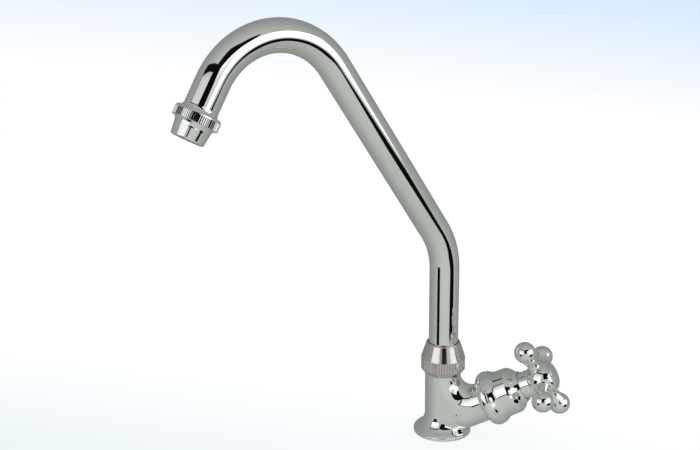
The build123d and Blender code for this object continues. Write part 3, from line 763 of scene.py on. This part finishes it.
@dataclass(frozen=True)
class CutThread:
    """One length of cut thread about the column's axis, in metres.

    crest_share and root_share are the widths of the crest and the root, as shares of the pitch.
    The flanks run on past the crest by the share overcut of its width, so that the tail's own
    outline trims them. The screw starts turns_below under the thread and has spare_turns more
    than it needs, and the flat ends cut these off. Its turns are merged where they meet, within
    the share merged_within of the pitch.
    """

    name: str
    crest_radius: float
    pitch: float
    depth: float
    bottom: float
    top: float
    crest_share: float = 0.125
    root_share: float = 0.2
    overcut: float = 0.15
    turns_below: float = 1.5
    spare_turns: int = 3
    merged_within: float = 0.01
    steps: int = 64

    def build(self) -> bpy.types.Object:
        """A closed solid with flat ends, its crests a little proud for the tail to trim.

        Returns:
            The solid.
        """
        thread = self.one_turn()
        apply_modifier(
            thread,
            "SCREW",
            axis="Z",
            angle=2 * pi,
            screw_offset=self.pitch,
            iterations=int((self.top - self.bottom) / self.pitch) + self.spare_turns,
            steps=self.steps,
            render_steps=self.steps,
            use_smooth_shade=False,
        )
        bpy.ops.object.mode_set(mode="EDIT")
        bpy.ops.mesh.select_all(action="SELECT")
        bpy.ops.mesh.remove_doubles(threshold=self.pitch * self.merged_within)
        for height, clear in ((self.bottom, "clear_inner"), (self.top, "clear_outer")):
            bpy.ops.mesh.select_all(action="SELECT")
            bpy.ops.mesh.bisect(
                plane_co=(0.0, 0.0, height),
                plane_no=(0.0, 0.0, 1.0),
                use_fill=True,
                threshold=CUT_TOLERANCE,
                **{clear: True},
            )
        bpy.ops.mesh.select_all(action="SELECT")
        bpy.ops.mesh.normals_make_consistent(inside=False)
        bpy.ops.object.mode_set(mode="OBJECT")
        LOG.info("%s: %d faces", self.name, len(thread.data.polygons))
        return thread

    def one_turn(self) -> bpy.types.Object:
        """The thread's outline over one turn, as a line of five edges, below the thread's bottom.

        Returns:
            The line, which starts and ends in the middle of the root.
        """
        start = self.bottom - self.turns_below * self.pitch
        root_radius = self.crest_radius - self.depth
        flank = 2 * self.depth / (1 - self.crest_share - self.root_share)
        past_crest = self.overcut * self.crest_share
        half_top = self.crest_share / 2 - past_crest
        top_radius = self.crest_radius + flank * past_crest
        marks = (
            (0.0, root_radius),
            (self.root_share / 2, root_radius),
            (0.5 - half_top, top_radius),
            (0.5 + half_top, top_radius),
            (1 - self.root_share / 2, root_radius),
            (1.0, root_radius),
        )
        deselect_all()
        bpy.ops.mesh.primitive_plane_add(size=self.pitch, rotation=(pi / 2, 0.0, 0.0))
        line = bpy.context.active_object
        line.name = self.name
        bpy.ops.object.transform_apply(location=True, rotation=True, scale=True)
        bpy.ops.object.mode_set(mode="EDIT")
        bpy.ops.mesh.select_mode(type="VERT")
        bpy.ops.mesh.select_all(action="DESELECT")
        bpy.ops.object.mode_set(mode="OBJECT")
        for corner in line.data.vertices:
            corner.select = corner.co.x < 0
        bpy.ops.object.mode_set(mode="EDIT")
        bpy.ops.mesh.delete(type="VERT")
        bpy.ops.mesh.select_all(action="SELECT")
        bpy.ops.mesh.subdivide(number_cuts=len(marks) - 2)
        bpy.ops.object.mode_set(mode="OBJECT")
        points = sorted(line.data.vertices, key=lambda point: point.co.z)
        for point, (share, radius) in zip(points, marks):
            point.co = (radius, 0.0, start + share * self.pitch)
        return line


@dataclass
class SubAssembly:
    """A group of the tap's pieces that are made and fitted together."""

    finishes: dict[str, Finish] = field(default_factory=dict)

    def dress_nodes(self) -> None:
        """Gives each CAD node that the group shows its finish."""
        for node, finish in self.finishes.items():
            dress(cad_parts[node], finish)

    def build(self) -> None:
        """Dresses the group. A group with pieces of its own builds them too."""
        self.dress_nodes()


@dataclass
class Pedestal(SubAssembly):
    """The cast body with its tail, and what clamps it to the worktop.

    The tail's threads are joined to a plain core, which runs past both of the tail's ends.
    """

    finishes: dict[str, Finish] = field(
        default_factory=lambda: {
            "tap_body": Finish.CAST_CHROME,
            "base_gasket": Finish.RUBBER,
            "deck_rubber": Finish.RUBBER,
            "clamp_washer": Finish.ZINC,
            "backnut": Finish.COLUMN_BRASS,
        }
    )
    threads: tuple[CutThread, ...] = (
        CutThread(
            "tail_thread",
            crest_radius=0.011,
            pitch=0.0015,
            depth=0.00092,
            bottom=-0.0512,
            top=0.009,
        ),
        CutThread(
            "hose_thread",
            crest_radius=0.01048,
            pitch=0.001814,
            depth=0.00116,
            bottom=-0.0695,
            top=-0.0523,
        ),
    )
    core_radius: float = 0.0092
    core_length: float = 0.078
    core_middle: float = -0.0305
    core_corners: int = 64

    def build(self) -> None:
        """Dresses the group and cuts the tail's threads."""
        self.dress_nodes()
        self.cut_tail()

    def cut_tail(self) -> None:
        """Cuts both threads of the tail, in place of its plain solid."""
        deselect_all()
        bpy.ops.mesh.primitive_cylinder_add(
            vertices=self.core_corners,
            radius=self.core_radius,
            depth=self.core_length,
            location=(0.0, 0.0, self.core_middle),
        )
        threaded = bpy.context.active_object
        bpy.ops.object.transform_apply(location=True, rotation=True, scale=True)
        for thread in self.threads:
            combine(threaded, thread.build(), "UNION")
        combine(threaded, merged_copy("inlet_tail"), "INTERSECT")
        threaded.name = "threaded_tail"
        dress(threaded, Finish.COLUMN_BRASS)
        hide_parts("inlet_tail")
        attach(threaded, "tap")


@dataclass
class Spout(SubAssembly):
    """The swivel spout from its bush to its aerator, with the nut that holds it."""

    finishes: dict[str, Finish] = field(
        default_factory=lambda: {
            "spout_tube": Finish.DRAWN_CHROME,
            "spout_bush": Finish.COLUMN_BRASS,
            "spout_seals": Finish.RUBBER,
            "slip_ring": Finish.ACETAL,
            "spout_nut": Finish.SATIN_CHROME,
            "spout_tip": Finish.TIP_CHROME,
            "aerator_housing": Finish.TIP_CHROME,
            "aerator_washer": Finish.RUBBER,
            "aerator_insert": Finish.ACETAL,
            "aerator_screen": Finish.MESH,
        }
    )


@dataclass
class Valve(SubAssembly):
    """The headwork under its bell cover, down to the washer on its seat."""

    finishes: dict[str, Finish] = field(
        default_factory=lambda: {
            "headwork_body": Finish.BRANCH_BRASS,
            "headwork_joint": Finish.PACKING,
            "gland_packing": Finish.PACKING,
            "gland_nut": Finish.BRANCH_BRASS,
            "headwork_cover": Finish.COVER_CHROME,
            "seat_washer": Finish.RUBBER,
            "jumper": Finish.BRANCH_BRASS,
            "washer_nut": Finish.BRANCH_BRASS,
        }
    )


@dataclass(frozen=True)
class Barrel:
    """The swell of the handle's hub between its arms, in metres along and away from its axis.

    Points behind the hub's back, nearer to the axis than inner_still or farther from it than
    outer_still keep their place. Those from inner_moved to outer_moved move by the whole swell.
    """

    centre_along: float = 0.0857
    hub_radius: float = 0.011
    hub_back: float = 0.0082
    stem_radius: float = 0.01
    swell_radius: float = 0.0126
    back_reach: float = 0.0135
    front_reach: float = 0.0155
    inner_still: float = 0.0078
    inner_moved: float = 0.0092
    outer_moved: float = 0.0112
    outer_still: float = 0.0175

    def shift(self, radius: float, along: float) -> float:
        """How far a point moves away from the axis.

        Args:
            radius: The point's distance from the axis.
            along: Its place along the axis, from the arms' middle.

        Returns:
            The move, negative towards the axis.
        """
        if not self.inner_still < radius < self.outer_still or along < -self.hub_back:
            return 0.0
        reach = self.back_reach if along < 0 else self.front_reach
        target = max(self.swell_radius * sqrt(1 - (along / reach) ** 2), self.stem_radius)
        if radius < self.inner_moved:
            weight = (radius - self.inner_still) / (self.inner_moved - self.inner_still)
        elif radius > self.outer_moved:
            weight = (self.outer_still - radius) / (self.outer_still - self.outer_moved)
        else:
            weight = 1.0
        return (target - self.hub_radius) * weight * weight * (3 - 2 * weight)


@dataclass
class Handle(SubAssembly):
    """The cross handle on its spindle, with the screw and the cap that hold and hide it."""

    finishes: dict[str, Finish] = field(
        default_factory=lambda: {
            "spindle": Finish.BRANCH_BRASS,
            "handle_screw": Finish.BRANCH_BRASS,
            "index_cap": Finish.COVER_CHROME,
        }
    )
    hub: Barrel = Barrel()
    voxel: float = 0.0004
    smooth_share: float = 0.5
    smooth_rounds: int = 8

    def build(self) -> None:
        """Dresses the group and casts the handle."""
        self.dress_nodes()
        self.cast_handle()

    def cast_handle(self) -> None:
        """Makes the cast cross handle from its solid, with a barrel-shaped hub and soft edges."""
        cast = merged_copy("cross_handle")
        cast.name = "cast_cross_handle"
        apply_modifier(cast, "REMESH", mode="VOXEL", voxel_size=self.voxel)
        self.swell_hub(cast)
        apply_modifier(cast, "SMOOTH", factor=self.smooth_share, iterations=self.smooth_rounds)
        bpy.ops.object.shade_smooth()
        dress(cast, Finish.CAST_CHROME)
        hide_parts("cross_handle")
        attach(cast, "spindle")

    def swell_hub(self, cast: bpy.types.Object) -> None:
        """Moves the hub's wall out to its barrel shape.

        Args:
            cast: The handle's object.
        """
        axis = TurnedAbout.BRANCH
        for point in cast.data.vertices:
            offset = point.co - axis.point
            along = offset.dot(axis.way)
            away = offset - axis.way * along
            radius = away.length
            move = self.hub.shift(radius, along - self.hub.centre_along)
            if move:
                point.co += away * (move / radius)


def from_tap(turn: float, rise: float) -> Vector:
    """The way from the tap to a place in the studio.

    Args:
        turn: Degrees to the right of the camera, seen in the photograph.
        rise: Degrees above the horizon.

    Returns:
        The direction, of length 1.
    """
    azimuth = CAMERA_AZIMUTH + radians(turn)
    level = cos(radians(rise))
    return Vector((cos(azimuth) * level, sin(azimuth) * level, sin(radians(rise))))


@dataclass(frozen=True)
class StudioPanel:
    """A flat panel that faces the tap: a softbox, or a black card that the chrome mirrors.

    turn, rise, width and height are in degrees as the tap sees them, and distance is in metres.
    foot_level and head_level are how bright a softbox is at its lower and its upper edge,
    side_share is how much of that rise its right side has too, and glow_power is how late the
    rise comes.
    """

    name: str
    turn: float
    rise: float
    width: float
    height: float
    distance: float = 1.25
    foot_level: float = 1.0
    head_level: float = 1.0
    side_share: float = 0.0
    glow_power: float = 1.0

    @property
    def size(self) -> tuple[float, float]:
        """Width and height in metres."""
        return (
            2 * self.distance * tan(radians(self.width / 2)),
            2 * self.distance * tan(radians(self.height / 2)),
        )

    @property
    def turned(self) -> Euler:
        """Rotation that points the panel's back away from the tap."""
        return from_tap(self.turn, self.rise).to_track_quat("Z", "Y").to_euler()

    def place(self, centre: Vector) -> Vector:
        """Where the panel's middle is, seen from a centre in the tap."""
        return centre + from_tap(self.turn, self.rise) * self.distance


@dataclass(frozen=True)
class Room:
    """The backdrop that the camera sees, and the grey room that the chrome mirrors.

    The backdrop turns from white to blue between white_below and blue_above, in degrees above the
    horizon, and leans so that its right side turns blue a little lower. The room is lightest in
    front of the tap, lightest_turn degrees to the right of the camera.
    """

    backdrop_low: Colour = (1.0, 1.0, 1.0)
    backdrop_high: Colour = (0.657, 0.809, 0.993)
    white_below: float = -7.6
    blue_above: float = -1.0
    lean: float = 0.1
    lightest_turn: float = 8.0
    behind: Colour = (0.26, 0.27, 0.258)
    beside: Colour = (0.385, 0.4, 0.382)
    ahead: Colour = (0.605, 0.622, 0.6)
    fill: Colour = (0.8, 0.8, 0.8)

    def build(self, right: Vector) -> bpy.types.World:
        """Makes the world.

        Args:
            right: The camera's way to the right, level.

        Returns:
            The world.
        """
        world = bpy.data.worlds.new("studio")
        world.use_nodes = True
        world.node_tree.nodes.clear()
        graph = Graph(world.node_tree)
        way = graph.add("ShaderNodeTexCoord").outputs["Generated"]
        slope = (right * self.lean + Vector((0.0, 0.0, 1.0))) * degrees(1.0)
        share = graph.between(graph.along(way, slope), self.white_below, self.blue_above)
        backdrop = graph.blend(share, rgba(self.backdrop_low), rgba(self.backdrop_high))
        front = graph.between(graph.along(way, from_tap(self.lightest_turn, 0.0)), -1.0, 1.0)
        ramp = graph.add("ShaderNodeValToRGB", {0: front})
        ramp.color_ramp.elements[0].color = rgba(self.behind)
        ramp.color_ramp.elements[1].color = rgba(self.ahead)
        ramp.color_ramp.elements.new(0.5).color = rgba(self.beside)
        path = graph.add("ShaderNodeLightPath").outputs
        mirrored = graph.maths("MAXIMUM", path["Is Glossy Ray"], path["Is Transmission Ray"])
        shown = graph.blend(path["Is Camera Ray"], rgba(self.fill), backdrop)
        shown = graph.blend(mirrored, shown, ramp.outputs[0])
        light = graph.add("ShaderNodeBackground", {"Color": shown, "Strength": 1.0})
        graph.add("ShaderNodeOutputWorld", {"Surface": light.outputs[0]})
        return world


@dataclass(frozen=True)
class Floor:
    """The round floor, white behind the tap and tinted in front of it, in metres.

    Most of its light is a glow that only the camera sees, and matt_share of it takes shadows.
    """

    radius: float = 1.5
    corners: int = 96
    white_beyond: float = 0.07
    tinted_before: float = -0.125
    colour: Colour = (1.0, 1.0, 1.0)
    tint: Colour = (0.814, 0.878, 0.903)
    glow: float = 1.06
    matt_share: float = 0.15

    def build(self) -> None:
        """Lays the floor."""
        deselect_all()
        bpy.ops.mesh.primitive_circle_add(
            vertices=self.corners, radius=self.radius, fill_type="NGON"
        )
        floor = bpy.context.active_object
        floor.name = "studio_floor"
        floor.data.materials.append(self.material())
        floor.visible_glossy = False
        LOG.info("floor laid, %.1f m across", 2 * self.radius)

    def material(self) -> bpy.types.Material:
        """The floor's material."""
        material, graph = blank_material("studio_floor")
        place = graph.add("ShaderNodeTexCoord").outputs["Object"]
        depth = graph.add("ShaderNodeSeparateXYZ", {0: place}).outputs[1]
        share = graph.between(depth, self.white_beyond, self.tinted_before)
        colour = graph.blend(share, rgba(self.colour), rgba(self.tint))
        matt = graph.add("ShaderNodeBsdfDiffuse", {"Color": colour})
        path = graph.add("ShaderNodeLightPath").outputs
        strength = graph.maths("MULTIPLY", path["Is Camera Ray"], self.glow)
        glow = graph.add("ShaderNodeEmission", {"Color": colour, "Strength": strength})
        inputs = {0: self.matt_share, 1: glow.outputs[0], 2: matt.outputs[0]}
        mix = graph.add("ShaderNodeMixShader", inputs)
        graph.add("ShaderNodeOutputMaterial", {"Surface": mix.outputs[0]})
        return material


@dataclass
class Studio:
    """Floor, background, softboxes, black cards and camera.

    light_level is the softboxes' brightness, and edge_level the share of it at their corners,
    where it fades from fade_start to fade_end, in widths from the middle.
    """

    room: Room = Room()
    floor: Floor = Floor()
    centre: Vector = field(default_factory=lambda: Vector((0.04, 0.0, 0.06)))
    light_level: float = 1.35
    edge_level: float = 0.75
    fade_start: float = 0.15
    fade_end: float = 0.7
    softboxes: tuple[StudioPanel, ...] = (
        StudioPanel(
            "left_softbox",
            turn=-42.5,
            rise=21.0,
            width=45.0,
            height=42.0,
            foot_level=1.15,
            head_level=0.5,
        ),
        StudioPanel(
            "right_softbox",
            turn=53.5,
            rise=19.0,
            width=67.0,
            height=38.0,
            foot_level=0.5,
            head_level=1.2,
            side_share=1.0,
            glow_power=3.0,
        ),
    )
    cards: tuple[StudioPanel, ...] = (
        StudioPanel("left_frame_card", turn=-42.5, rise=22.5, width=51.0, height=53.0, distance=1.3),
        StudioPanel("middle_card", turn=16.0, rise=31.0, width=50.0, height=42.0, distance=1.6),
        StudioPanel("low_right_card", turn=60.0, rise=-12.5, width=32.0, height=19.0, distance=1.0),
        StudioPanel("low_left_card", turn=-45.0, rise=-12.5, width=20.0, height=19.0, distance=1.0),
    )
    cloth_colour: Colour = (0.006, 0.006, 0.006)
    camera_place: Vector = field(default_factory=lambda: Vector((0.16109, -0.70517, 0.363372)))
    camera_heading: float = radians(18.329)
    camera_dip: float = 0.2714
    camera_roll: float = -0.0098
    lens: float = 52.875
    sensor_width: float = 36.0

    def build(self) -> None:
        """Sets up the whole studio."""
        self.add_camera()
        bpy.context.scene.world = self.room.build(self.camera_right)
        self.floor.build()
        for panel in self.softboxes:
            self.add_softbox(panel)
        cloth = self.black_cloth()
        for panel in self.cards:
            self.add_card(panel, cloth)
        bpy.context.scene.view_settings.view_transform = "Standard"

    @property
    def camera_right(self) -> Vector:
        """The camera's way to the right before it is rolled, which is level."""
        return Vector((cos(self.camera_heading), sin(self.camera_heading), 0.0))

    def add_camera(self) -> None:
        """Puts the camera where the photograph was taken from."""
        turn, dip, roll = self.camera_heading, self.camera_dip, self.camera_roll
        ahead = Vector((-sin(turn) * cos(dip), cos(turn) * cos(dip), -sin(dip)))
        right = self.camera_right
        up = right.cross(ahead)
        right, up = right * cos(roll) + up * sin(roll), up * cos(roll) - right * sin(roll)
        pose = Matrix((right, up, -ahead)).transposed().to_4x4()
        pose.translation = self.camera_place
        bpy.ops.object.camera_add()
        camera = bpy.context.active_object
        camera.name = "camera"
        camera.matrix_world = pose
        camera.data.lens = self.lens
        camera.data.sensor_width = self.sensor_width
        camera.data.shift_x = -0.5 / IMAGE_WIDTH
        camera.data.shift_y = 0.5 / IMAGE_WIDTH
        camera.data.clip_start = 0.01
        bpy.context.scene.camera = camera

    def add_softbox(self, panel: StudioPanel) -> None:
        """Hangs one softbox.

        Args:
            panel: Its place, size and brightness.
        """
        width, height = panel.size
        bpy.ops.object.light_add(
            type="AREA", location=panel.place(self.centre), rotation=panel.turned
        )
        lamp = bpy.context.active_object
        lamp.name = panel.name
        lamp.data.shape = "RECTANGLE"
        lamp.data.size = width
        lamp.data.size_y = height
        lamp.data.energy = self.light_level * pi * width * height
        lamp.data.use_nodes = True
        lamp.visible_camera = False
        graph = Graph(lamp.data.node_tree)
        place = graph.add("ShaderNodeNewGeometry").outputs["Parametric"]
        middle = graph.add(
            "ShaderNodeVectorMath", {0: place, 1: (0.5, 0.5, 0.0)}, operation="DISTANCE"
        )
        away = middle.outputs["Value"]
        fading = graph.between(away, self.fade_start, self.fade_end, 1.0, self.edge_level)
        sideways, upward, _ = graph.add("ShaderNodeSeparateXYZ", {0: place}).outputs
        beside = graph.maths("MULTIPLY", sideways, panel.side_share)
        share = graph.maths("POWER", graph.maths("MAXIMUM", upward, beside), panel.glow_power)
        rising = graph.between(share, 0.0, 1.0, panel.foot_level, panel.head_level)
        strength = graph.maths("MULTIPLY", fading, rising)
        graph.feed(graph.tree.nodes["Emission"].inputs["Strength"], strength)
        LOG.info("%s: %.2f x %.2f m", panel.name, width, height)

    def black_cloth(self) -> bpy.types.Material:
        """The cards' material, a cloth that gives back almost no light."""
        material, graph = blank_material("black_cloth")
        cloth = graph.add("ShaderNodeBsdfDiffuse", {"Color": rgba(self.cloth_colour)})
        graph.add("ShaderNodeOutputMaterial", {"Surface": cloth.outputs[0]})
        return material

    def add_card(self, panel: StudioPanel, cloth: bpy.types.Material) -> None:
        """Hangs one black card that only the mirror finishes show.

        Args:
            panel: Its place and size.
            cloth: Its material.
        """
        deselect_all()
        bpy.ops.mesh.primitive_plane_add(
            size=1.0, location=panel.place(self.centre), rotation=panel.turned
        )
        card = bpy.context.active_object
        card.name = panel.name
        card.scale = (*panel.size, 1.0)
        bpy.ops.object.transform_apply(location=True, rotation=True, scale=True)
        card.data.materials.append(cloth)
        card.visible_camera = False
        card.visible_diffuse = False
        card.visible_shadow = False
        LOG.info("%s hung", panel.name)


def main() -> None:
    """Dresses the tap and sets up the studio."""
    logging.basicConfig(level=logging.INFO, format="%(message)s")
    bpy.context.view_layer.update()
    for group in (Pedestal(), Spout(), Valve(), Handle()):
        group.build()
    Studio().build()


if __name__ == "__main__":
    main()
